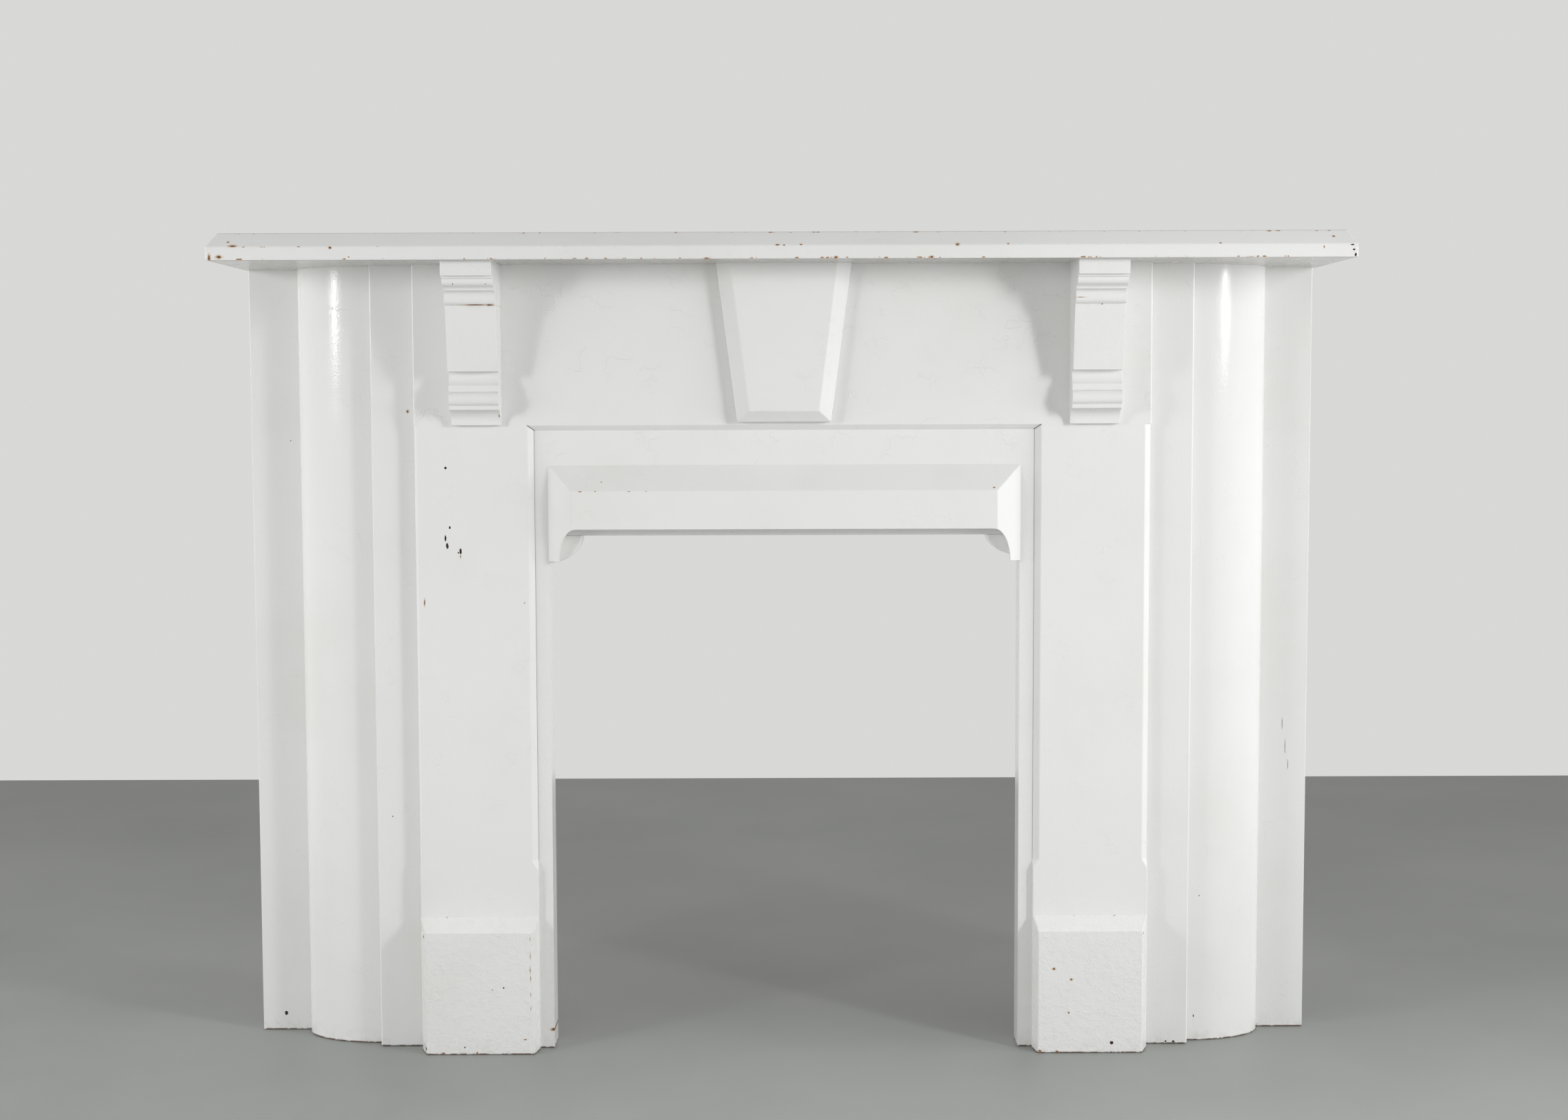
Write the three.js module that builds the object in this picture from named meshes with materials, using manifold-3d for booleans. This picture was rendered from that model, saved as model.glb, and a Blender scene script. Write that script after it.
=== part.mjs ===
// A painted timber mantelpiece for a fireplace: shelf, frieze, keystone, brackets, pilasters and
// half-column returns, with the jamb posts, cleats, rails and screws that hold it together behind.
// Millimetres, +Z up. The origin is at floor level in the middle of the plan; the front faces -Y
// and the wall is at the largest Y. Every piece of one side is built for +X, and the left side
// is built the same way and mirrored. It is hand-made: the two sides differ by a few millimetres.

import * as THREE from "three";
import { ConvexGeometry } from "three/addons/geometries/ConvexGeometry.js";
import { mergeVertices } from "three/addons/utils/BufferGeometryUtils.js";
import Module from "manifold-3d";

const wasm = await Module();
wasm.setup();

// Fit between neighbouring pieces.
const GAP = 0.3;

// Shelf: a square band below, a chamfer above it, on the front and on both ends.
const HEIGHT = 1220;
const SHELF_WIDTH = 1643;
const SHELF_DEPTH = 245;
const SHELF_THICKNESS = 39.5;
const SHELF_BAND = 19;
const SHELF_CHAMFER = 14;
const SHELF_UNDERSIDE = HEIGHT - SHELF_THICKNESS;
const BOARD_TOP = SHELF_UNDERSIDE - GAP;

// Depth planes, from the front to the wall.
const WALL = SHELF_DEPTH / 2;
const PLINTH_FACE = -36.9;
const LINTEL_FACE = -31;
const PILASTER_FACE = -10.3;
const SURROUND_FACE = -1.5;
const FILLET_FACE = 8.4;
const COLUMN_FRONT = 26.1;
const JAMB_BACK = 46.7;
const RETURN_FACE = 98.9;

const BOARD = 24;
const PILASTER_BACK = PILASTER_FACE + BOARD;
const FILLET_BACK = FILLET_FACE + BOARD;

// The middle of the opening stands this far to the right of the middle of the shelf.
const OPENING_CENTRE = 2.7;

// Distances of the vertical edges from the middle of the opening.
const OPENING_EDGE = 351.5;
const PILASTER_INNER = 372.5;
const OUTER_EDGES = {
  left: { pilaster: 550.5, fillet: 617, column: 742, board: 818 },
  right: { pilaster: 545.5, fillet: 611, column: 734.5, board: 808 },
};
const JAMB_POST_OUTER = 440;
const REAR_POST_INNER = 565;

// Pilasters and frieze.
const FRIEZE_BOTTOM = 943.4;
const FRIEZE_LIP = 935.8;
const PILASTER_BEVEL = 9;
const OUTER_BEVEL = { left: 5, right: 9 };
const CHAMFER_STOP = 275;
const STOP_RUN = 14;

// Lintel block, with bevelled top and ends and a curved cut at each lower corner.
const LINTEL_TOP = 884;
const LINTEL_FACE_TOP = 846;
const LINTEL_BOTTOM = 789;
const LINTEL_END_BOTTOM = 740;
const LINTEL_HALF = 352.5;
const LINTEL_FACE_HALF = 315.4;
const LINTEL_CURVE_START = 310;
const LINTEL_CURVE_END = 336;

// Head rail and the quarter-round blocks in the top corners of the opening.
const HEAD_RAIL_BOTTOM = 779;
const HEAD_RAIL_TOP = 1000;
const CORNER_BLOCK_WIDTH = 48;
const CORNER_BLOCK_DROP = { left: 40, right: 30 };

// Keystone block.
const KEYSTONE_BOTTOM = 947.8;
const KEYSTONE_FACE_BOTTOM = 964;
const KEYSTONE_HALF_BOTTOM = 69.4;
const KEYSTONE_HALF_TOP = 99.8;
const KEYSTONE_FACE_HALF_BOTTOM = 51.5;
const KEYSTONE_FACE_HALF_TOP = 79;
const KEYSTONE_EDGE = 12;
const KEYSTONE_THICKNESS = 27;

// Brackets. They were set by hand, so the two stand at slightly different distances.
const BRACKET_WIDTH = 73.4;
const BRACKET_BOTTOM = 944;
const BRACKET_CENTRE = { left: 456, right: 460 };

// Plinth blocks.
const PLINTH_INNER_BEVEL = 5.5;
const PLINTH_OUTER_BEVEL = 10.5;
const PLINTH_FACE_TOP = 186;
const PLINTH_TOP = 203.7;

// Hidden frame.
const TOP_RAIL_BOTTOM = 1100;
const JAMB_POST_TOP = 1100;
const CLEAT_HEIGHT = 60;
const CLEAT_BOTTOMS = { lower: 70, upper: 720 };
const GLUE_BLOCK_SIDE = 32;
const GLUE_BLOCK_LENGTH = 60;
const GLUE_BLOCK_PLACES = { far_left: -330, left: -170, right: 170, far_right: 330 };

// Countersunk screws.
const SCREW_LENGTH = 38;
const SCREW_RADIUS = 2.2;
const SCREW_HEAD_RADIUS = 4.4;
const SCREW_HEAD_DEPTH = 3;
const SCREW_HEAD_RIM = 0.4;
const SCREW_TIP = 5;
const SCREW_SIDES = 12;
const CLEAT_SCREW_PLACES = { inner: 470, outer: 530 };
const BRACKET_SCREW_HEIGHTS = { lower: 1000, upper: 1125 };
const KEYSTONE_SCREW_HEIGHTS = { lower: 1010, upper: 1130 };

const CURVE_STEPS = 24;

const paint = new THREE.MeshStandardMaterial({ color: 0xe6e5e1, roughness: 0.3, metalness: 0 });
const timber = new THREE.MeshStandardMaterial({ color: 0x9c7b55, roughness: 0.8, metalness: 0 });
const steel = new THREE.MeshStandardMaterial({ color: 0x6d6a66, roughness: 0.5, metalness: 0.9 });

// Extrusions of an outline along each axis. Outline points are [x, y], [y, z] and [x, z] in turn.

function extruded(points, length) {
  const shape = new THREE.Shape(points.map(([a, b]) => new THREE.Vector2(a, b)));
  return new THREE.ExtrudeGeometry(shape, { depth: length, bevelEnabled: false });
}

function alongZ(points, low, high) {
  return extruded(points, high - low).translate(0, 0, low);
}

function alongX(points, low, high) {
  const turn = new THREE.Matrix4().set(0, 0, 1, 0, 1, 0, 0, 0, 0, 1, 0, 0, 0, 0, 0, 1);
  return extruded(points, high - low).applyMatrix4(turn).translate(low, 0, 0);
}

function alongY(points, low, high) {
  return extruded(points, high - low).rotateX(Math.PI / 2).translate(0, high, 0);
}

function block(x, y, z) {
  return new THREE.BoxGeometry(x[1] - x[0], y[1] - y[0], z[1] - z[0])
    .translate((x[0] + x[1]) / 2, (y[0] + y[1]) / 2, (z[0] + z[1]) / 2);
}

// An arc of an ellipse as points, between two angles in degrees.
function arc(centre, radii, from, to, steps = CURVE_STEPS) {
  return Array.from({ length: steps + 1 }, (_, i) => {
    const angle = THREE.MathUtils.degToRad(from + ((to - from) * i) / steps);
    return [centre[0] + radii[0] * Math.cos(angle), centre[1] + radii[1] * Math.sin(angle)];
  });
}

// Booleans.

function solid(geometry) {
  const bare = geometry.clone();
  bare.deleteAttribute("normal");
  bare.deleteAttribute("uv");
  const merged = mergeVertices(bare, 1e-4);
  const vertProperties = merged.attributes.position.array;
  const triVerts = new Uint32Array(merged.index.array);
  return new wasm.Manifold(new wasm.Mesh({ numProp: 3, vertProperties, triVerts }));
}

function surface(manifold) {
  const mesh = manifold.getMesh();
  const geometry = new THREE.BufferGeometry();
  geometry.setAttribute("position", new THREE.BufferAttribute(new Float32Array(mesh.vertProperties), 3));
  geometry.setIndex(new THREE.BufferAttribute(new Uint32Array(mesh.triVerts), 1));
  geometry.computeVertexNormals();
  return geometry;
}

function cut(geometry, ...tools) {
  return surface(tools.reduce((left, tool) => left.subtract(solid(tool)), solid(geometry)));
}

function piece(name, geometry, material) {
  const mesh = new THREE.Mesh(geometry, material);
  mesh.name = name;
  return mesh;
}

// A screw with its head flush at y = back, or the bore for it when it is given a clearance.
function screwShape(x, back, z, clearance = 0) {
  const radius = SCREW_RADIUS + clearance;
  const head = SCREW_HEAD_RADIUS + clearance;
  const top = clearance > 0 ? 1 : 0;
  const profile = [
    [0, -SCREW_LENGTH - clearance],
    [radius, -SCREW_LENGTH + SCREW_TIP],
    [radius, -SCREW_HEAD_DEPTH - clearance],
    [head, -SCREW_HEAD_RIM - clearance],
    [head, top],
    [0, top],
  ];
  const points = profile.map(([r, y]) => new THREE.Vector2(r, y));
  return new THREE.LatheGeometry(points, SCREW_SIDES).translate(x, back, z);
}

function boreFor(x, back, z) {
  return screwShape(x, back, z, GAP);
}

// Shelf.

function shelfGeometry() {
  const half = SHELF_WIDTH / 2;
  const front = -SHELF_DEPTH / 2;
  const inset = SHELF_CHAMFER;
  const corners = [];
  for (const side of [-1, 1]) {
    for (const z of [SHELF_UNDERSIDE, SHELF_UNDERSIDE + SHELF_BAND]) {
      corners.push(new THREE.Vector3(side * half, front, z), new THREE.Vector3(side * half, WALL, z));
    }
    corners.push(new THREE.Vector3(side * (half - inset), front + inset, HEIGHT));
    corners.push(new THREE.Vector3(side * (half - inset), WALL, HEIGHT));
  }
  return new ConvexGeometry(corners);
}

// Frieze board, bored for the screws that hold the brackets and the keystone.

function friezeGeometry() {
  const lip = PILASTER_INNER;
  const shoulder = PILASTER_INNER + PILASTER_BEVEL;
  const outline = [
    [-lip, FRIEZE_LIP],
    [lip, FRIEZE_LIP],
    [shoulder, FRIEZE_BOTTOM],
    [OUTER_EDGES.right.pilaster, FRIEZE_BOTTOM],
    [OUTER_EDGES.right.pilaster, BOARD_TOP],
    [-OUTER_EDGES.left.pilaster, BOARD_TOP],
    [-OUTER_EDGES.left.pilaster, FRIEZE_BOTTOM],
    [-shoulder, FRIEZE_BOTTOM],
  ];
  const bevel = alongX(
    [
      [SURROUND_FACE, FRIEZE_LIP],
      [PILASTER_FACE, FRIEZE_BOTTOM],
      [PILASTER_FACE - 1, FRIEZE_BOTTOM],
      [PILASTER_FACE - 1, FRIEZE_LIP - 1],
      [SURROUND_FACE, FRIEZE_LIP - 1],
    ],
    -shoulder,
    shoulder,
  );
  const bores = Object.values(KEYSTONE_SCREW_HEIGHTS).map((z) => boreFor(0, PILASTER_BACK, z));
  for (const z of Object.values(BRACKET_SCREW_HEIGHTS)) {
    bores.push(boreFor(-BRACKET_CENTRE.left, PILASTER_BACK, z));
    bores.push(boreFor(BRACKET_CENTRE.right, PILASTER_BACK, z));
  }
  return cut(alongY(outline, PILASTER_FACE, PILASTER_BACK), bevel, ...bores);
}

// Keystone: a tapered block with bevels on both sides and at the foot.

function keystoneGeometry() {
  const back = PILASTER_FACE - GAP;
  const edge = PILASTER_FACE - KEYSTONE_EDGE;
  const face = PILASTER_FACE - KEYSTONE_THICKNESS;
  const corners = [];
  for (const side of [-1, 1]) {
    for (const y of [back, edge]) {
      corners.push(new THREE.Vector3(side * KEYSTONE_HALF_BOTTOM, y, KEYSTONE_BOTTOM));
      corners.push(new THREE.Vector3(side * KEYSTONE_HALF_TOP, y, BOARD_TOP));
    }
    corners.push(new THREE.Vector3(side * KEYSTONE_FACE_HALF_BOTTOM, face, KEYSTONE_FACE_BOTTOM));
    corners.push(new THREE.Vector3(side * KEYSTONE_FACE_HALF_TOP, face, BOARD_TOP));
  }
  const bores = Object.values(KEYSTONE_SCREW_HEIGHTS).map((z) => boreFor(0, PILASTER_BACK, z));
  return cut(new ConvexGeometry(corners), ...bores);
}

// Lintel block.

function lintelGeometry() {
  const back = SURROUND_FACE - GAP;
  const section = [
    [back, LINTEL_TOP],
    [LINTEL_FACE, LINTEL_FACE_TOP],
    [LINTEL_FACE, LINTEL_END_BOTTOM],
    [back, LINTEL_END_BOTTOM],
  ];
  const plan = [
    [-LINTEL_HALF, back],
    [-LINTEL_FACE_HALF, LINTEL_FACE],
    [LINTEL_FACE_HALF, LINTEL_FACE],
    [LINTEL_HALF, back],
  ];
  const bevelled = solid(alongX(section, -LINTEL_HALF, LINTEL_HALF)).intersect(
    solid(alongZ(plan, LINTEL_END_BOTTOM - 1, LINTEL_TOP + 1)),
  );
  const radii = [LINTEL_CURVE_END - LINTEL_CURVE_START, LINTEL_BOTTOM - LINTEL_END_BOTTOM];
  const underside = [
    [LINTEL_CURVE_END, LINTEL_END_BOTTOM - 1],
    ...arc([LINTEL_CURVE_START, LINTEL_END_BOTTOM], radii, 0, 90, 12),
    ...arc([-LINTEL_CURVE_START, LINTEL_END_BOTTOM], radii, 90, 180, 12),
    [-LINTEL_CURVE_END, LINTEL_END_BOTTOM - 1],
  ];
  return surface(bevelled.subtract(solid(alongY(underside, LINTEL_FACE - 1, back + 1))));
}

// Head rail, rebated for the frieze board in front of it.

function headRailGeometry() {
  const section = [
    [SURROUND_FACE, HEAD_RAIL_BOTTOM],
    [JAMB_BACK, HEAD_RAIL_BOTTOM],
    [JAMB_BACK, HEAD_RAIL_TOP],
    [PILASTER_BACK + GAP, HEAD_RAIL_TOP],
    [PILASTER_BACK + GAP, FRIEZE_LIP - GAP],
    [SURROUND_FACE, FRIEZE_LIP - GAP],
  ];
  return alongX(section, GAP - OPENING_EDGE, OPENING_EDGE - GAP);
}

// Bracket: a block above, mouldings, a battered shaft, mouldings and a cove at the foot.
// The outline is [projection from the frieze, height].

function bracketGeometry(centre) {
  const outline = [
    [GAP, BOARD_TOP],
    [96.4, BOARD_TOP],
    [96.4, 1159],
    [88, 1159],
    [88, 1156],
    ...arc([77.7, 1155], [7, 9.6], 0, -90, 8),
    ...arc([77.7, 1139.5], [9.8, 5.9], 90, 180, 6),
    [61, 1138],
    ...arc([61, 1128.6], [5, 8.8], 80, -80, 10),
    [61, 1119],
    [57, 1119],
    [39.4, 1023],
    [26, 1023],
    ...arc([36, 1021], [11, 20], 180, 245, 6),
    [31.5, 1001],
    [31.5, 993.5],
    ...arc([29, 983.5], [6.5, 9.7], 80, -80, 10),
    [29, 973.2],
    [31, 972.4],
    [31, 967],
    ...arc([29.5, BRACKET_BOTTOM + 2], [20.6, 20.5], 90, 180, 8),
    [8.9, BRACKET_BOTTOM],
    [GAP, BRACKET_BOTTOM],
  ];
  const profile = outline.map(([out, z]) => [PILASTER_FACE - out, z]);
  const low = centre - BRACKET_WIDTH / 2;
  const bores = Object.values(BRACKET_SCREW_HEIGHTS).map((z) => boreFor(centre, PILASTER_BACK, z));
  return cut(alongX(profile, low, low + BRACKET_WIDTH), ...bores);
}

// Pilaster board: bevelled inner arris, chamfered outer arris, both stopped above the plinth.

function pilasterGeometry(outer, outerBevel) {
  const bevel = PILASTER_BEVEL;
  const outline = [
    [PILASTER_INNER, 0],
    [outer, 0],
    [outer, FRIEZE_BOTTOM - GAP],
    [PILASTER_INNER + bevel, FRIEZE_BOTTOM - GAP],
    [PILASTER_INNER, FRIEZE_LIP - GAP],
  ];
  const tools = [chamferTool(PILASTER_INNER, 1, bevel), chamferTool(outer, -1, outerBevel)];
  for (const x of Object.values(CLEAT_SCREW_PLACES)) {
    for (const z of Object.values(CLEAT_BOTTOMS)) {
      tools.push(boreFor(x, PILASTER_BACK + GAP + BOARD, z + CLEAT_HEIGHT / 2));
    }
  }
  return cut(alongY(outline, PILASTER_FACE, PILASTER_BACK), ...tools);
}

// The wedge cut off a front arris at the given x, running out over STOP_RUN at its lower end.
function chamferTool(x, inward, width) {
  const corner = (z, size) => [
    new THREE.Vector3(x - inward, PILASTER_FACE - 1, z),
    new THREE.Vector3(x + inward * size, PILASTER_FACE - 1, z),
    new THREE.Vector3(x + inward * size, PILASTER_FACE, z),
    new THREE.Vector3(x, PILASTER_FACE + size, z),
    new THREE.Vector3(x - inward, PILASTER_FACE + size, z),
  ];
  const points = [...corner(CHAMFER_STOP, 0), ...corner(CHAMFER_STOP + STOP_RUN, width)];
  return new ConvexGeometry([...points, ...corner(FRIEZE_BOTTOM + 1, width)]);
}

// Plinth block, planted on the foot of the pilaster.

function plinthGeometry(outer) {
  const back = PILASTER_FACE - GAP;
  const faceInner = PILASTER_INNER + PLINTH_INNER_BEVEL;
  const faceOuter = outer - PLINTH_OUTER_BEVEL;
  const corners = [
    [PILASTER_INNER, back, 0],
    [outer, back, 0],
    [PILASTER_INNER, back, PLINTH_TOP],
    [outer, back, PLINTH_TOP],
    [faceInner, PLINTH_FACE, 0],
    [faceOuter, PLINTH_FACE, 0],
    [faceInner, PLINTH_FACE, PLINTH_FACE_TOP],
    [faceOuter, PLINTH_FACE, PLINTH_FACE_TOP],
  ];
  return new ConvexGeometry(corners.map((corner) => new THREE.Vector3(...corner)));
}

// Jamb post: its tongue shows beside the opening, and the rest stands behind the pilaster.

function jambPostGeometry() {
  const back = PILASTER_BACK + GAP;
  const body = block([OPENING_EDGE, JAMB_POST_OUTER], [back, JAMB_BACK], [0, JAMB_POST_TOP]);
  const tongue = block(
    [OPENING_EDGE, PILASTER_INNER - GAP],
    [SURROUND_FACE, back + 1],
    [0, FRIEZE_LIP - GAP],
  );
  return surface(solid(body).add(solid(tongue)));
}

// Quarter-round block in the top corner of the opening; the left one was cut deeper than the right.

function cornerBlockGeometry(drop) {
  const corner = [OPENING_EDGE - GAP, HEAD_RAIL_BOTTOM - GAP];
  const radii = [CORNER_BLOCK_WIDTH, drop];
  return alongY([corner, ...arc(corner, radii, 180, 270, 12)], SURROUND_FACE, JAMB_BACK);
}

// Quarter column: a quarter of an ellipse in plan, bulging to the front and the outside.

function columnGeometry(edges) {
  const centre = [edges.fillet + GAP, RETURN_FACE - GAP];
  const radii = [edges.column - centre[0], centre[1] - COLUMN_FRONT];
  return alongZ([centre, ...arc(centre, radii, -90, 0)], 0, BOARD_TOP);
}

function cleatGeometry(bottom, outer) {
  const back = PILASTER_BACK + GAP + BOARD;
  const bores = Object.values(CLEAT_SCREW_PLACES).map((x) => boreFor(x, back, bottom + CLEAT_HEIGHT / 2));
  const x = [JAMB_POST_OUTER + GAP, outer];
  return cut(block(x, [back - BOARD, back], [bottom, bottom + CLEAT_HEIGHT]), ...bores);
}

// Triangular glue block in the angle between the shelf and the back of the frieze.
function glueBlockGeometry(x) {
  const front = PILASTER_BACK + GAP;
  const section = [
    [front, BOARD_TOP - GLUE_BLOCK_SIDE],
    [front + GLUE_BLOCK_SIDE, BOARD_TOP],
    [front, BOARD_TOP],
  ];
  return alongX(section, x - GLUE_BLOCK_LENGTH / 2, x + GLUE_BLOCK_LENGTH / 2);
}

// One side of the mantelpiece, built for +X.

function side(name) {
  const group = new THREE.Group();
  const centre = BRACKET_CENTRE[name];
  const edges = OUTER_EDGES[name];
  const add = (label, geometry, material) => group.add(piece(name + "_" + label, geometry, material));
  const standing = [0, BOARD_TOP];

  add("bracket", bracketGeometry(centre), paint);
  add("pilaster_board", pilasterGeometry(edges.pilaster, OUTER_BEVEL[name]), paint);
  add("plinth_block", plinthGeometry(edges.pilaster), paint);
  add("jamb_post", jambPostGeometry(), paint);
  add("corner_block", cornerBlockGeometry(CORNER_BLOCK_DROP[name]), paint);
  const fillet = [edges.pilaster + GAP, edges.fillet];
  add("fillet_board", block(fillet, [FILLET_FACE, FILLET_BACK], standing), paint);
  add("quarter_column", columnGeometry(edges), paint);
  const board = [edges.fillet + GAP, edges.board];
  add("return_board", block(board, [RETURN_FACE, WALL], standing), paint);
  const post = [REAR_POST_INNER, edges.fillet];
  add("rear_post", block(post, [FILLET_BACK + GAP, WALL], standing), timber);

  for (const [level, bottom] of Object.entries(CLEAT_BOTTOMS)) {
    add(level + "_cleat", cleatGeometry(bottom, edges.pilaster), timber);
    for (const [place, x] of Object.entries(CLEAT_SCREW_PLACES)) {
      const back = PILASTER_BACK + GAP + BOARD;
      add(`${level}_cleat_${place}_screw`, screwShape(x, back, bottom + CLEAT_HEIGHT / 2), steel);
    }
  }
  for (const [level, z] of Object.entries(BRACKET_SCREW_HEIGHTS)) {
    add(`bracket_${level}_screw`, screwShape(centre, PILASTER_BACK, z), steel);
  }
  return group;
}

const body = new THREE.Group();
body.add(piece("frieze_board", friezeGeometry(), paint));
body.add(piece("keystone", keystoneGeometry(), paint));
body.add(piece("lintel_block", lintelGeometry(), paint));
body.add(piece("head_rail", headRailGeometry(), paint));

const railEnds = [GAP - REAR_POST_INNER, REAR_POST_INNER - GAP];
const railGeometry = block(railEnds, [WALL - BOARD, WALL], [TOP_RAIL_BOTTOM, BOARD_TOP]);
body.add(piece("top_rail", railGeometry, timber));

for (const [place, x] of Object.entries(GLUE_BLOCK_PLACES)) {
  body.add(piece(place + "_glue_block", glueBlockGeometry(x), timber));
}
for (const [level, z] of Object.entries(KEYSTONE_SCREW_HEIGHTS)) {
  body.add(piece(`keystone_${level}_screw`, screwShape(0, PILASTER_BACK, z), steel));
}

const left = side("left");
left.scale.x = -1;
body.add(left, side("right"));
body.position.x = OPENING_CENTRE;

const mantelpiece = new THREE.Group();
mantelpiece.add(piece("mantel_shelf", shelfGeometry(), paint), body);

export default mantelpiece;
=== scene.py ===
"""The finished look of a painted timber mantelpiece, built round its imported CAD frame.

Each painted board is rebuilt from its CAD node with rounded arrises, so that the gloss paint
catches the light along its edges. Units are metres, in the frame of the CAD: the front faces -Y
and the wall is at the largest Y.
"""

import math

import bmesh
import bpy
from mathutils import Matrix, Vector


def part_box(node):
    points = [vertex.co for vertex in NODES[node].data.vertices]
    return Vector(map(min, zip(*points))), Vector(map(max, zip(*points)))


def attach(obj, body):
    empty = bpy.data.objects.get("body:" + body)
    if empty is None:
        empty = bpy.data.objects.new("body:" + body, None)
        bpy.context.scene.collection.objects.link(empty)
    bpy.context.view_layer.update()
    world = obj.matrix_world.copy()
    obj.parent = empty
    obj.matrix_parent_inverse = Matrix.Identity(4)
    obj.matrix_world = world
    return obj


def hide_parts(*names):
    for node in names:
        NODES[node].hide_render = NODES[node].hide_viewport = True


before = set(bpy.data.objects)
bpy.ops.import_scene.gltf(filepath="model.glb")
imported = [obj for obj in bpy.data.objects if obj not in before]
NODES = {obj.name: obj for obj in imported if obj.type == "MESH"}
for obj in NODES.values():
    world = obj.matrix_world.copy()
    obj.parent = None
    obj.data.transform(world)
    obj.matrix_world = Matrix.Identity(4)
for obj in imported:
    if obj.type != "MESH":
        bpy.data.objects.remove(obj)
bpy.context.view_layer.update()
MM = 0.001
X, Y, Z = 0, 1, 2

# The fit between neighbouring CAD pieces, which the paint fills.
GAP = 0.3 * MM

SIDES = ("left", "right")
LEVEL_PIECES = ["mantel_shelf", "frieze_board", "keystone", "lintel_block", "head_rail"]
UPRIGHT_KINDS = [
    "bracket",
    "pilaster_board",
    "plinth_block",
    "jamb_post",
    "corner_block",
    "fillet_board",
    "quarter_column",
    "return_board",
]
PAINTED = LEVEL_PIECES + [f"{side}_{kind}" for side in SIDES for kind in UPRIGHT_KINDS]
SCREWS = sorted(name for name in NODES if name.endswith("_screw"))
BARE = sorted(set(NODES) - set(PAINTED) - set(SCREWS))


def kind_of(name):
    """The name of a piece without its side."""
    return name.removeprefix("left_").removeprefix("right_")


# ---------------------------------------------------------------- node trees

# Sockets of the colour mix node, which shares their names with its other data types.
MIX_BELOW, MIX_ABOVE, MIX_RESULT = 6, 7, 2


class Nodes:
    """Short ways to add nodes to one tree, with the coordinates that its textures use."""

    def __init__(self, tree, coordinates="Object"):
        self.tree = tree
        self.place = self.add("ShaderNodeTexCoord").outputs[coordinates]

    def add(self, node_type, **settings):
        made = self.tree.nodes.new(node_type)
        for key, value in settings.items():
            setattr(made, key, value)
        return made

    def plug(self, value, socket):
        """Joins an output to a socket, or sets the socket to a plain value."""
        if isinstance(value, bpy.types.NodeSocket):
            self.tree.links.new(value, socket)
        else:
            socket.default_value = value

    def maths(self, operation, a, b=0.0):
        made = self.add("ShaderNodeMath", operation=operation)
        self.plug(a, made.inputs[0])
        self.plug(b, made.inputs[1])
        return made.outputs[0]

    def plus(self, a, b):
        return self.maths("ADD", a, b)

    def minus(self, a, b):
        return self.maths("SUBTRACT", a, b)

    def times(self, a, b):
        return self.maths("MULTIPLY", a, b)

    def apart(self, a, b):
        return self.maths("ABSOLUTE", self.minus(a, b))

    def vector(self, operation, a, b=(0.0, 0.0, 0.0)):
        made = self.add("ShaderNodeVectorMath", operation=operation)
        self.plug(a, made.inputs[0])
        self.plug(b, made.inputs[1])
        return made.outputs["Value" if operation == "LENGTH" else "Vector"]

    def component(self, value, axis):
        split = self.add("ShaderNodeSeparateXYZ")
        self.plug(value, split.inputs[0])
        return split.outputs[axis]

    def noise(self, scale, detail=2.0, roughness=0.5, place=None, output="Fac"):
        made = self.add("ShaderNodeTexNoise")
        self.plug(self.place if place is None else place, made.inputs["Vector"])
        made.inputs["Scale"].default_value = scale
        made.inputs["Detail"].default_value = detail
        made.inputs["Roughness"].default_value = roughness
        return made.outputs[output]

    def grain(self, along, low, high, detail=2.0, roughness=0.5, place=None):
        """Noise drawn out along one axis: its scale is low along it and high across it."""
        scale = [high] * 3
        scale["XYZ".index(along)] = low
        drawn_out = self.vector("MULTIPLY", self.place if place is None else place, tuple(scale))
        return self.noise(1.0, detail, roughness, drawn_out)

    def cells(self, scale):
        """Cells 1 / scale wide: Distance is from a cell's middle, and Color differs per cell."""
        made = self.add("ShaderNodeTexVoronoi")
        self.plug(self.place, made.inputs["Vector"])
        made.inputs["Scale"].default_value = scale
        return made

    def smooth(self, value, low, high, out_low=0.0, out_high=1.0):
        """value carried smoothly from low..high to out_low..out_high."""
        made = self.add("ShaderNodeMapRange", interpolation_type="SMOOTHSTEP")
        self.plug(value, made.inputs["Value"])
        made.inputs["From Min"].default_value = low
        made.inputs["From Max"].default_value = high
        made.inputs["To Min"].default_value = out_low
        made.inputs["To Max"].default_value = out_high
        return made.outputs["Result"]

    def ramp(self, value, stops):
        made = self.add("ShaderNodeValToRGB")
        elements = made.color_ramp.elements
        while len(elements) < len(stops):
            elements.new(0.5)
        for element, (position, colour) in zip(elements, stops):
            element.position = position
            element.color = (*colour, 1.0)
        self.plug(value, made.inputs["Fac"])
        return made.outputs["Color"]

    def mix(self, below, mask, above):
        """The colour above over the colour below, where mask is 1."""
        made = self.add("ShaderNodeMix", data_type="RGBA")
        self.plug(mask, made.inputs["Factor"])
        for value, socket in ((below, MIX_BELOW), (above, MIX_ABOVE)):
            flat = not isinstance(value, bpy.types.NodeSocket)
            self.plug((*value, 1.0) if flat else value, made.inputs[socket])
        return made.outputs[MIX_RESULT]

    def tint(self, below, mask, strength, above):
        return self.mix(below, self.times(mask, strength), above)

    def heap(self, layers):
        """The height in metres of layers given as (share, thickness in millimetres)."""
        height = 0.0
        for share, thickness in layers:
            height = self.plus(height, self.times(share, thickness * MM))
        return height


def new_material(name):
    material = bpy.data.materials.new(name)
    material.use_nodes = True
    tree = material.node_tree
    return material, Nodes(tree), tree.nodes["Principled BSDF"]


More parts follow.
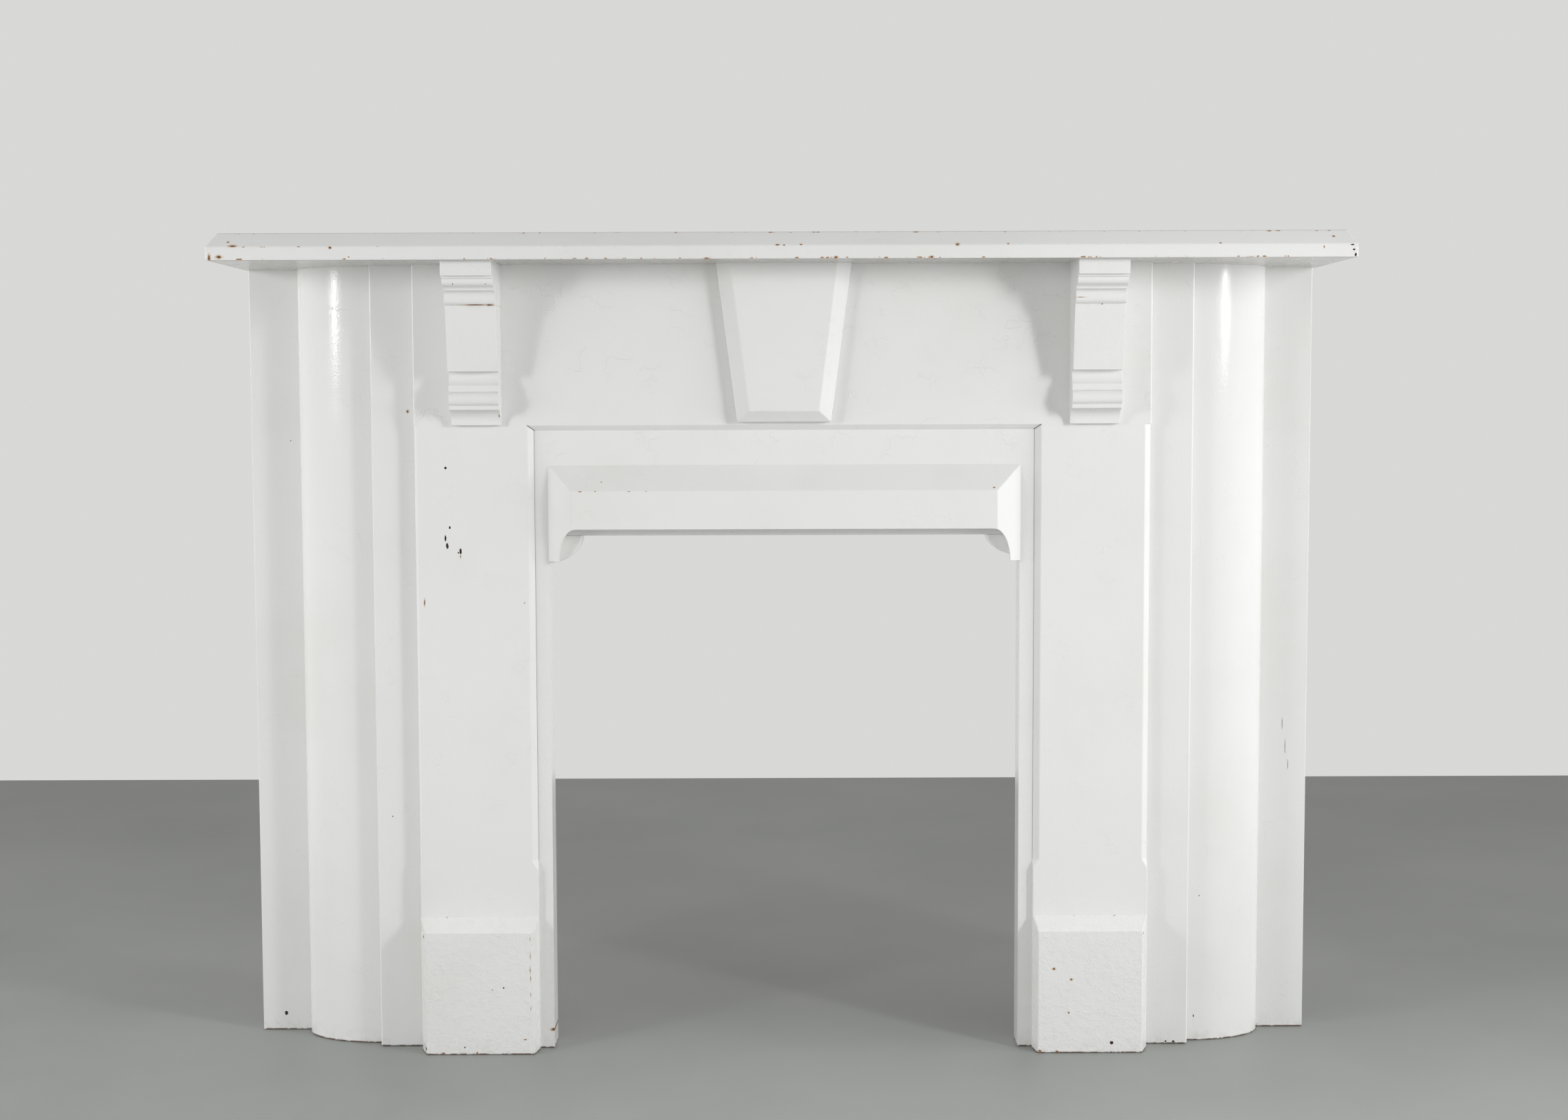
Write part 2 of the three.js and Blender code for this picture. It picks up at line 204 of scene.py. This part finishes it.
def raise_surface(nodes, shader, height):
    """Bends the normals as a surface with this height in metres would."""
    bump = nodes.add("ShaderNodeBump")
    bump.inputs["Distance"].default_value = 1.0
    nodes.plug(height, bump.inputs["Height"])
    nodes.plug(bump.outputs["Normal"], shader.inputs["Normal"])


# ---------------------------------------------------------------- camera, floor and light

# The eye is a little above the middle, about 3 m away, and looks slightly down.
EYE = (0.0018, -3.2, 0.972)
LENS_MM = 49.24
SENSOR_WIDTH_MM = 36.0
LOOK_DOWN = math.radians(4.12)
ROLL = math.radians(-0.18)

# The floor ends 2.36 m from the middle, and lies just under the feet of the mantelpiece.
FLOOR_REACH = 2.36
FLOOR_DROP = 0.5 * MM
FLOOR_DARK = (0.275, 0.286, 0.273)
FLOOR_PALE = (0.33, 0.341, 0.326)
FLOOR_ROUGHNESS = 0.45

# The plain wall behind, and the grey of the unseen room in front and overhead.
WALL = (0.69, 0.69, 0.68)
ROOM = (0.33, 0.33, 0.33)

# Where each soft box stands and what it is aimed at. Each is turned away from the near end, so
# that it reaches the far end too.
LEFT_BOX = ((-2.36, -1.7, 1.38), (-1.36, -1.77, 1.2))
RIGHT_BOX = ((1.88, -1.4, 1.38), (0.95, -1.78, 1.2))
LEFT_SIDE = ((-2.6, -0.7, 0.8), (0.0, -0.2, 0.6))
RIGHT_SIDE = ((2.6, -0.7, 0.8), (0.0, -0.2, 0.6))
LOW_FRONT = ((0.0, -1.3, 0.3), (0.0, 0.0, 0.2))

# Each light's name, place and target, size and watts, and whether the gloss mirrors it. Only the
# narrow boxes are mirrored, as the bright streaks down the columns.
LIGHTS = [
    ("soft_box_left", LEFT_BOX, (0.26, 0.5), 12.5, True),
    ("soft_box_right", RIGHT_BOX, (0.26, 0.5), 18, True),
    ("soft_box_left_wide", LEFT_BOX, (0.8, 0.6), 14, False),
    ("soft_box_right_wide", RIGHT_BOX, (0.8, 0.6), 29, False),
    ("side_fill_left", LEFT_SIDE, (1.4, 1.4), 20, False),
    ("side_fill_right", RIGHT_SIDE, (1.4, 1.4), 26, False),
    ("low_fill", LOW_FRONT, (2.2, 0.3), 4, False),
]


def make_camera():
    data = bpy.data.cameras.new("camera")
    data.sensor_width = SENSOR_WIDTH_MM
    data.lens = LENS_MM
    camera = bpy.data.objects.new("camera", data)
    camera.matrix_world = (
        Matrix.Translation(EYE)
        @ Matrix.Rotation(math.radians(90.0) - LOOK_DOWN, 4, "X")
        @ Matrix.Rotation(ROLL, 4, "Z")
    )
    bpy.context.scene.collection.objects.link(camera)
    bpy.context.scene.camera = camera


def make_floor():
    bpy.ops.mesh.primitive_plane_add(size=2 * FLOOR_REACH, location=(0, 0, -FLOOR_DROP))
    floor = bpy.context.object
    floor.name = "studio_floor"
    material, nodes, shader = new_material("studio_floor")
    cloud = nodes.noise(1.3, 4, 0.6)
    colour = nodes.ramp(cloud, [(0.3, FLOOR_DARK), (0.7, FLOOR_PALE)])
    nodes.plug(colour, shader.inputs["Base Color"])
    shader.inputs["Roughness"].default_value = FLOOR_ROUGHNESS
    floor.data.materials.append(material)


def make_surround():
    world = bpy.data.worlds.new("surround")
    bpy.context.scene.world = world
    world.use_nodes = True
    nodes = Nodes(world.node_tree, "Generated")
    in_front = nodes.smooth(nodes.component(nodes.place, "Y"), 0.3, -0.2)
    overhead = nodes.smooth(nodes.component(nodes.place, "Z"), 0.35, 0.8)
    colour = nodes.mix(nodes.mix(WALL, in_front, ROOM), overhead, ROOM)
    nodes.plug(colour, world.node_tree.nodes["Background"].inputs["Color"])
    bpy.context.scene.view_settings.view_transform = "Standard"


def make_lights():
    for name, (place, target), size, power, mirrored in LIGHTS:
        data = bpy.data.lights.new(name, "AREA")
        data.shape = "RECTANGLE"
        data.size, data.size_y = size
        data.energy = power
        light = bpy.data.objects.new(name, data)
        light.location = place
        light.rotation_mode = "QUATERNION"
        light.rotation_quaternion = (Vector(target) - Vector(place)).to_track_quat("-Z", "Y")
        light.visible_camera = False
        light.visible_glossy = mirrored
        bpy.context.scene.collection.objects.link(light)


# ---------------------------------------------------------------- paint

WHITE = (0.765, 0.765, 0.755)
OLD_WHITE = (0.74, 0.738, 0.72)
# A darker grey for the shelf's underside: painted shade under the overhang, with some dust.
DUST_AND_SHADE_WHITE = (0.50, 0.49, 0.47)
SPECK = (0.40, 0.29, 0.19)
FINE_SPECK = (0.33, 0.32, 0.30)
GRIT = (0.30, 0.22, 0.15)
GRIME = (0.36, 0.31, 0.25)
OCHRE = (0.52, 0.27, 0.06)
BROWN = (0.16, 0.065, 0.022)
SOOT = (0.022, 0.014, 0.010)
PAINT_ROUGHNESS = (0.13, 0.2)

# The heights over which dust and scuffs fade out above the floor.
DUSTY_FOOT = 30 * MM
SCUFFED_FOOT = (2.6 * MM, 1.2 * MM)

# How far a chip goes down through the paint, and how uneven the outline of a mark is, in radii.
CHIP_DEPTH = 0.8 * MM
RAGGED = 1.5


def on_front(name, marks):
    """Marks given as (across, up, half width, half height), the first two as shares of the box
    of the piece and the others in millimetres, turned into places and radii in metres."""
    low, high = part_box(name)
    size = high - low
    return [(low.x + u * size.x, low.z + v * size.z, w * MM, h * MM) for u, v, w, h in marks]


def nearest_mark(nodes, marks):
    """Distance to the nearest mark, in that mark's own radii, with a ragged outline."""
    nearest = None
    for x, z, across, up in marks:
        offset = nodes.vector("SUBTRACT", nodes.place, (x, 0.0, z))
        in_radii = nodes.vector("MULTIPLY", offset, (1 / across, 0.0, 1 / up))
        reach = nodes.vector("LENGTH", in_radii)
        nearest = reach if nearest is None else nodes.maths("MINIMUM", nearest, reach)
    rag = nodes.times(nodes.noise(420.0, 3, 0.7), RAGGED)
    return nodes.plus(nearest, nodes.minus(rag, RAGGED / 2))


def scattered(nodes, scale, radius, share):
    """Round dots of the given radius, in cells 1 / scale wide, of which a share holds one."""
    cells = nodes.cells(scale)
    dot = nodes.smooth(cells.outputs["Distance"], radius * scale, 0.3 * radius * scale)
    draw = nodes.component(cells.outputs["Color"], "X")
    return nodes.times(dot, nodes.maths("GREATER_THAN", draw, 1.0 - share))


def band(nodes, value, middle, half_width):
    """1 where value is close to middle, falling softly to 0 at half_width from it."""
    return nodes.smooth(nodes.apart(value, middle), half_width, 0.4 * half_width)


def paint_relief(nodes, along, pits, hairs):
    """The height of the paint: brush marks along the grain, slow waves, orange peel, blisters,
    hairs where a coat has cracked, and on a pitted piece the crust of many old coats."""
    blister = scattered(nodes, 46.0, 2.6 * MM, 0.10)
    crack = nodes.smooth(nodes.apart(nodes.noise(26.0, 3, 0.55), 0.5), 0.010, 0.0)
    cracked = nodes.smooth(nodes.noise(17.0), 0.60 - 0.12 * hairs, 0.66 - 0.12 * hairs)
    layers = [
        (nodes.grain(along, 7.0, 420.0), 0.045),
        (nodes.grain(along, 1.8, 75.0), 0.11),
        (nodes.noise(7.0), 0.35),
        (nodes.noise(320.0), 0.15),
        (blister, 0.22),
        (nodes.times(crack, cracked), 0.16 + 0.2 * hairs),
    ]
    if pits:
        pit = nodes.smooth(nodes.cells(330.0).outputs["Distance"], 0.42, 0.05)
        crust = nodes.smooth(nodes.noise(60.0, 4, 0.65), 0.42, 0.62)
        layers += [
            (nodes.times(pit, crust), -0.42 * pits),
            (crust, 0.16 * pits),
            (nodes.noise(120.0, 3, 0.6), 0.5 * pits),
        ]
    return nodes.heap(layers)


def whole_paint(nodes, pits):
    """White that is older in places, with specks, and with grit on a pitted piece."""
    aged = nodes.smooth(nodes.noise(5.0, 3, 0.6), 0.45, 0.75)
    colour = nodes.mix(WHITE, aged, OLD_WHITE)
    colour = nodes.tint(colour, scattered(nodes, 34.0, 0.75 * MM, 0.16), 0.75, SPECK)
    colour = nodes.tint(colour, scattered(nodes, 75.0, 0.5 * MM, 0.2), 0.5, FINE_SPECK)
    if pits:
        grit = nodes.smooth(nodes.cells(250.0).outputs["Distance"], 0.16, 0.05)
        gritty = nodes.smooth(nodes.noise(26.0, 3, 0.6), 0.54, 0.68)
        colour = nodes.tint(colour, nodes.times(grit, gritty), 0.55 * pits, GRIT)
    return colour


def rust_at_level(nodes, colour, level, broken, line):
    """A broken brown line in an ochre halo. line is (height, half width, threshold of broken)."""
    middle, half_width, threshold = line
    spots = nodes.smooth(broken, threshold, threshold + 0.03)
    mask = nodes.times(spots, band(nodes, level, middle, half_width))
    colour = nodes.mix(colour, mask, BROWN)
    halo_spots = nodes.smooth(broken, threshold - 0.04, threshold + 0.02)
    halo = nodes.times(halo_spots, band(nodes, level, middle, 1.2 * half_width))
    return nodes.tint(colour, halo, 0.45, OCHRE)


def soil_foot(nodes, colour, level, broken):
    """Dust low down, and a thin scuffed line at the floor."""
    patchy = nodes.smooth(nodes.noise(70.0, 4, 0.7), 0.45, 0.7)
    dust = nodes.times(nodes.smooth(level, DUSTY_FOOT, 0.0), patchy)
    colour = nodes.tint(colour, dust, 0.22, GRIME)
    scuffed = nodes.smooth(broken, 0.40, 0.52)
    scuff = nodes.times(scuffed, nodes.smooth(level, *SCUFFED_FOOT))
    return nodes.tint(colour, scuff, 0.85, BROWN)


def paint_material(
    name, along, pits=0.0, hairs=0.15, dark=(), rust=(), rusty_levels=(), underside=None, foot=False
):
    """White gloss over old coats, brushed along one axis.

    pits and hairs say how coarse the old coats are, dark and rust hold marks from on_front(),
    rusty_levels holds lines for rust_at_level(), underside is the height of an underside greyed
    with painted shade and dust, and foot is true for a piece that stands on the floor.
    """
    material, nodes, shader = new_material(name)
    height = paint_relief(nodes, along, pits, hairs)
    colour = whole_paint(nodes, pits)
    level = nodes.component(nodes.place, "Z")
    broken = nodes.grain("Z", 60.0, 95.0, 3, 0.7)
    for line in rusty_levels:
        colour = rust_at_level(nodes, colour, level, broken, line)
    # Painted shade and dust: the shelf's underside is turned a darker grey, for the shade under its
    # overhang.
    if underside is not None:
        greyed = nodes.smooth(level, underside + 0.6 * MM, underside + 0.2 * MM)
        colour = nodes.mix(colour, greyed, DUST_AND_SHADE_WHITE)
    if foot:
        colour = soil_foot(nodes, colour, level, broken)
    if rust:
        near = nearest_mark(nodes, rust)
        colour = nodes.tint(colour, nodes.smooth(near, 1.9, 0.9), 0.45, OCHRE)
        colour = nodes.mix(colour, nodes.smooth(near, 1.0, 0.5), BROWN)
    if dark:
        near = nearest_mark(nodes, dark)
        colour = nodes.mix(colour, nodes.smooth(near, 1.2, 1.0), BROWN)
        missing = nodes.smooth(near, 1.0, 0.75)
        colour = nodes.mix(colour, missing, SOOT)
        height = nodes.minus(height, nodes.times(missing, CHIP_DEPTH))
    nodes.plug(colour, shader.inputs["Base Color"])
    roughness = nodes.smooth(nodes.noise(24.0, 3, 0.6), 0.3, 0.8, *PAINT_ROUGHNESS)
    nodes.plug(roughness, shader.inputs["Roughness"])
    raise_surface(nodes, shader, height)
    return material


# ---------------------------------------------------------------- bare timber and steel

TIMBER_DARK = (0.16, 0.085, 0.04)
TIMBER_PALE = (0.42, 0.27, 0.15)
LEVEL_REAR_DARK = (0.13, 0.07, 0.035)
LEVEL_REAR_PALE = (0.36, 0.23, 0.13)
TIMBER_DUST = (0.36, 0.32, 0.27)
STEEL = (0.30, 0.28, 0.26)
RUSTED_STEEL = (0.19, 0.085, 0.04)


def timber_material(name, along, dark=TIMBER_DARK, pale=TIMBER_PALE):
    """Bare, sawn, dusty softwood, with its grain along one axis and saw marks across it."""
    material, nodes, shader = new_material(name)
    bend = nodes.vector("MULTIPLY", nodes.noise(3.0, output="Color"), (0.05, 0.05, 0.05))
    bent = nodes.vector("ADD", nodes.place, bend)
    grain = nodes.grain(along, 2.5, 130.0, 5, 0.65, bent)
    figure = nodes.grain(along, 1.1, 22.0, 3, 0.6, bent)
    tone = nodes.plus(nodes.times(grain, 0.6), nodes.times(figure, 0.4))
    palest = tuple(1.15 * channel for channel in pale)
    colour = nodes.ramp(tone, [(0.33, dark), (0.52, pale), (0.68, palest)])
    greyed = nodes.smooth(nodes.noise(6.0, 5, 0.7), 0.45, 0.7)
    nodes.plug(nodes.tint(colour, greyed, 0.4, TIMBER_DUST), shader.inputs["Base Color"])
    shader.inputs["Roughness"].default_value = 0.82
    shader.inputs["Specular IOR Level"].default_value = 0.25
    saw_marks = nodes.grain("Z" if along == "X" else "X", 6.0, 420.0)
    raise_surface(nodes, shader, nodes.heap([(grain, 0.6), (saw_marks, 0.25)]))
    return material


def steel_material():
    material, nodes, shader = new_material("dull_screw_steel")
    rust = nodes.smooth(nodes.noise(300.0, 4, 0.7), 0.42, 0.62)
    nodes.plug(nodes.mix(STEEL, rust, RUSTED_STEEL), shader.inputs["Base Color"])
    nodes.plug(nodes.minus(1.0, rust), shader.inputs["Metallic"])
    nodes.plug(nodes.smooth(rust, 0.0, 1.0, 0.4, 0.85), shader.inputs["Roughness"])
    return material


# ---------------------------------------------------------------- meshes

# Corners closer than this are one corner, and faces that turn by less than this are one face.
WELD = 0.01 * MM
FLAT_ANGLE = math.radians(0.6)

# Edges sharper than this are rounded, but not near a screw bore.
ARRIS_ANGLE = math.radians(22)
ARRIS_SEGMENTS = 3
SCREW_CLEARANCE = 7 * MM

# Shading runs across edges softer than this.
SOFT_ANGLE = math.radians(35)

# A corner lies on a plane when it is closer than this, and a face looks along an axis when that
# part of its normal is more than this.
ON_PLANE = 0.06 * MM
FACING = 0.9

# The width of the rounded arrises of each kind of piece, in millimetres.
ARRIS_WIDTHS = {"bracket": 0.8, "plinth_block": 1.8, "fillet_board": 2.4, "frieze_board": 2.2}
USUAL_ARRIS_WIDTH = 1.6


def screw_axis(name):
    low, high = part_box(name)
    return (low.x + high.x) / 2, (low.z + high.z) / 2


SCREW_AXES = [screw_axis(name) for name in SCREWS]


def near_screw(point):
    return any(math.hypot(point.x - x, point.z - z) < SCREW_CLEARANCE for x, z in SCREW_AXES)


def on_plane(point, plane):
    axis, place = plane
    return abs(point[axis] - place) < ON_PLANE


def cad_shape(name):
    """The CAD node's mesh with coplanar triangles joined into whole faces."""
    shape = bmesh.new()
    shape.from_mesh(NODES[name].data)
    bmesh.ops.remove_doubles(shape, verts=shape.verts, dist=WELD)
    bmesh.ops.dissolve_limit(
        shape, angle_limit=FLAT_ANGLE, verts=shape.verts, edges=shape.edges
    )
    return shape


def fits_of(name):
    """The planes of a piece that meet a painted neighbour: (axis, place, step that shuts it)."""
    low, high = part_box(name)
    side = int(low.x + high.x > 0)
    outward = (-1, 1)[side]
    inner, outer = (low.x, high.x) if outward > 0 else (high.x, low.x)
    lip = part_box("frieze_board")[0].z
    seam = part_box("right_pilaster_board")[1].z
    head_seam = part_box("head_rail")[side].x + outward * GAP / 2
    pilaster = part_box(SIDES[side] + "_pilaster_board")[1 - side].x
    under_shelf = (Z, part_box("mantel_shelf")[0].z - GAP, GAP)
    back = (Y, high.y, GAP)
    inner_side = (X, inner, -outward * GAP)
    under_lip = (Z, lip - GAP, GAP)
    fits = {
        "bracket": [back, under_shelf],
        "keystone": [back, under_shelf],
        "lintel_block": [back],
        "plinth_block": [back],
        "frieze_board": [under_shelf, (Z, seam + GAP, 0.0), (Z, lip, 0.0)],
        "pilaster_board": [(Z, seam, GAP), under_lip],
        "fillet_board": [inner_side, under_shelf],
        "quarter_column": [inner_side, back, under_shelf],
        "return_board": [under_shelf],
        "corner_block": [(X, outer, outward * GAP), (Z, high.z, GAP)],
        "head_rail": [(X, low.x, -GAP / 2), (X, high.x, GAP / 2), under_lip],
        "jamb_post": [
            (X, inner, head_seam - inner),
            (X, pilaster - outward * GAP, outward * GAP),
            under_lip,
        ],
    }
    return fits.get(kind_of(name), [])


def shut_joints(shape, fits):
    """Moves the corners on each plane (axis, place, step) by its step, so that the fit is
    filled, and returns the planes that they end on."""
    for axis, place, step in fits:
        for corner in shape.verts:
            if on_plane(corner.co, (axis, place)):
                corner.co[axis] += step
    return [(axis, place + step) for axis, place, step in fits]


def round_arrises(shape, width, joints):
    """Bevels the sharp edges, apart from screw bores and painted-over joints."""
    chosen = []
    for edge in shape.edges:
        if len(edge.link_faces) != 2 or edge.calc_face_angle(0.0) < ARRIS_ANGLE:
            continue
        if any(near_screw(corner.co) for corner in edge.verts):
            continue
        if any(all(on_plane(corner.co, joint) for corner in edge.verts) for joint in joints):
            continue
        chosen.append(edge)
    bmesh.ops.bevel(
        shape,
        geom=chosen,
        offset=width,
        offset_type="OFFSET",
        segments=ARRIS_SEGMENTS,
        profile=0.5,
        affect="EDGES",
        clamp_overlap=True,
    )


def bare_at_back(face):
    return int(face.normal.y > FACING)


def bare_behind(face):
    """Timber on the back, the top and the outer side, which the pilaster hides from the front."""
    pilaster_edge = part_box("right_pilaster_board")[0].x
    far_out = abs(face.calc_center_median().x) > pilaster_edge + 5 * MM
    outer_side = far_out and abs(face.normal.x) > FACING
    return int(outer_side or face.normal.y > FACING or face.normal.z > FACING)


def make_painted_piece(name, materials, width, choose):
    """A piece in place of its CAD node, with shut joints and rounded arrises. choose(face) says
    which of the two materials, paint or timber, a face has."""
    shape = cad_shape(name)
    joints = shut_joints(shape, fits_of(name))
    round_arrises(shape, width, joints)
    shape.normal_update()
    for face in shape.faces:
        face.smooth = True
        face.material_index = choose(face)
    for edge in shape.edges:
        edge.smooth = len(edge.link_faces) == 2 and edge.calc_face_angle(0.0) < SOFT_ANGLE
    mesh = bpy.data.meshes.new(name + "_painted")
    shape.to_mesh(mesh)
    shape.free()
    for material in materials:
        mesh.materials.append(material)
    piece = bpy.data.objects.new(name + "_painted", mesh)
    bpy.context.scene.collection.objects.link(piece)
    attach(piece, "root")
    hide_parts(name)
    weighted = piece.modifiers.new("weighted_normals", "WEIGHTED_NORMAL")
    weighted.keep_sharp = True


# ---------------------------------------------------------------- marks on the paint

# Where each painted piece is chipped (dark) or rusty, as on_front() reads them.
DARK_MARKS = {
    "left_pilaster_board": [
        (0.263, 0.934, 1.7, 1.9), (0.292, 0.840, 1.3, 2.2), (0.254, 0.823, 1.2, 4.2),
        (0.268, 0.811, 1.8, 4.4), (0.380, 0.802, 1.7, 3.8), (0.362, 0.800, 1.0, 1.2),
    ],
    "left_fillet_board": [(0.35, 0.30, 0.8, 0.9)],
    "left_plinth_block": [
        (0.035, 0.873, 1.0, 2.4), (0.713, 0.500, 1.1, 1.3), (0.618, 0.486, 0.8, 0.9),
        (0.050, 0.040, 1.4, 2.2), (0.380, 0.055, 1.0, 1.0),
    ],
    "right_plinth_block": [(0.675, 0.075, 2.4, 2.8), (0.945, 0.89, 1.0, 1.0)],
    "right_quarter_column": [(0.10, 0.032, 0.8, 2.0), (0.16, 0.19, 0.8, 0.9)],
    "left_return_board": [(0.18, 0.022, 2.2, 3.2), (0.50, 0.03, 1.3, 2.2), (0.30, 0.78, 0.7, 0.8)],
    "right_return_board": [
        (0.81, 0.405, 0.35, 9.0), (0.835, 0.375, 0.4, 11.0), (0.86, 0.35, 0.3, 7.0),
    ],
    "right_fillet_board": [(0.50, 0.003, 1.4, 1.2), (0.68, 0.003, 1.8, 1.4)],
    "right_bracket": [(0.53, 0.735, 0.9, 0.9)],
    "left_bracket": [(0.22, 0.862, 0.5, 1.0), (0.86, 0.862, 0.9, 0.4)],
    "mantel_shelf": [(0.9945, 0.44, 2.6, 0.9), (0.9960, 0.27, 2.0, 1.1), (0.9975, 0.09, 1.4, 2.2)],
}
RUST_MARKS = {
    "left_pilaster_board": [
        (0.071, 0.721, 1.0, 5.0), (0.378, 0.794, 0.7, 2.5), (0.91, 0.72, 0.9, 0.9),
    ],
    "left_plinth_block": [
        (0.941, 0.864, 0.4, 3.0), (0.941, 0.737, 0.5, 5.0), (0.939, 0.633, 0.6, 5.0),
        (0.942, 0.569, 0.5, 4.0), (0.942, 0.448, 0.4, 3.0), (0.941, 0.344, 0.4, 3.0),
        (0.891, 0.111, 2.4, 1.0), (0.484, 0.012, 1.4, 1.8), (0.200, 0.012, 2.4, 1.0),
    ],
    "right_plinth_block": [
        (0.05, 0.015, 2.6, 1.6), (0.20, 0.012, 2.2, 1.2), (0.17, 0.63, 2.4, 1.8),
        (0.32, 0.55, 2.0, 1.6), (0.30, 0.30, 1.3, 1.5),
    ],
    "lintel_block": [
        (0.071, 0.735, 2.4, 0.7), (0.103, 0.738, 1.1, 0.7), (0.174, 0.735, 1.8, 0.6),
        (0.21, 0.737, 0.9, 0.6), (0.94, 0.765, 1.8, 0.8), (0.115, 0.83, 1.2, 0.6),
    ],
    "left_bracket": [(0.62, 0.741, 17.0, 0.7), (0.90, 0.740, 6.0, 1.0), (0.975, 0.06, 0.8, 2.4)],
    "right_bracket": [(0.10, 0.775, 6.0, 0.5)],
    "left_fillet_board": [(0.83, 0.8175, 1.9, 2.3)],
    "left_jamb_post": [(0.985, 0.0255, 4.5, 2.4)],
    "mantel_shelf": [
        (0.0035, 0.10, 2.0, 4.5), (0.0120, 0.12, 4.2, 2.4), (0.1085, 0.44, 2.2, 1.8),
        (0.1246, 0.11, 1.2, 1.0), (0.0237, 0.51, 5.5, 1.6), (0.0195, 0.66, 2.0, 1.0),
        (0.4963, 0.50, 3.0, 1.1), (0.5020, 0.49, 1.6, 0.9), (0.5167, 0.51, 1.8, 1.0),
        (0.6524, 0.50, 2.6, 1.9), (0.6963, 0.51, 1.4, 1.0), (0.8804, 0.52, 1.7, 1.0),
        (0.9239, 0.97, 3.0, 0.9), (0.9793, 0.76, 2.2, 1.1), (0.9700, 0.37, 0.9, 1.9),
        (0.5350, 0.04, 2.6, 1.0), (0.5470, 0.05, 3.2, 1.5), (0.5905, 0.03, 2.8, 1.0),
        (0.6300, 0.05, 3.0, 1.6), (0.4350, 0.03, 4.5, 0.9),
    ],
}

# The square band below the chamfer of the shelf, whose upper arris is worn.
SHELF_BAND = 19 * MM


def look_of(name):
    """The settings of paint_material() that are particular to one piece."""
    kind = kind_of(name)
    low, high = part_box(name)
    look = {
        "dark": on_front(name, DARK_MARKS.get(name, [])),
        "rust": on_front(name, RUST_MARKS.get(name, [])),
        "foot": low.z < 5 * MM,
    }
    if kind == "mantel_shelf":
        look["rusty_levels"] = [
            (low.z + 1.5 * MM, 1.2 * MM, 0.61),
            (low.z + SHELF_BAND, 0.8 * MM, 0.68),
            (high.z - 1.2 * MM, 0.9 * MM, 0.61),
        ]
        # The shelf's underside is greyed with painted shade and some dust.
        look["underside"] = low.z
    elif kind in ("frieze_board", "head_rail"):
        look["hairs"] = 0.55
    elif kind == "plinth_block":
        look["pits"] = 1.0
        look["rusty_levels"] = [(high.z - 0.6 * MM, 0.8 * MM, 0.63)]
    elif kind in ("jamb_post", "bracket"):
        look["pits"] = 0.35
    return look


def make_painted_pieces():
    upright_timber = timber_material("timber_upright", "Z")
    level_timber = timber_material("timber_level", "X")
    for name in PAINTED:
        kind = kind_of(name)
        level = name in LEVEL_PIECES
        paint = paint_material("paint_" + name, "X" if level else "Z", **look_of(name))
        timber = level_timber if level else upright_timber
        width = ARRIS_WIDTHS.get(kind, USUAL_ARRIS_WIDTH) * MM
        choose = bare_behind if kind in ("jamb_post", "head_rail") else bare_at_back
        make_painted_piece(name, [paint, timber], width, choose)


def make_bare_pieces():
    upright = timber_material("rear_timber_upright", "Z")
    level = timber_material("rear_timber_level", "X", LEVEL_REAR_DARK, LEVEL_REAR_PALE)
    steel = steel_material()
    for name in BARE + SCREWS:
        bare = upright if name.endswith("post") else level
        slots = NODES[name].data.materials
        slots.clear()
        slots.append(steel if name in SCREWS else bare)


make_camera()
make_floor()
make_surround()
make_lights()
make_painted_pieces()
make_bare_pieces()
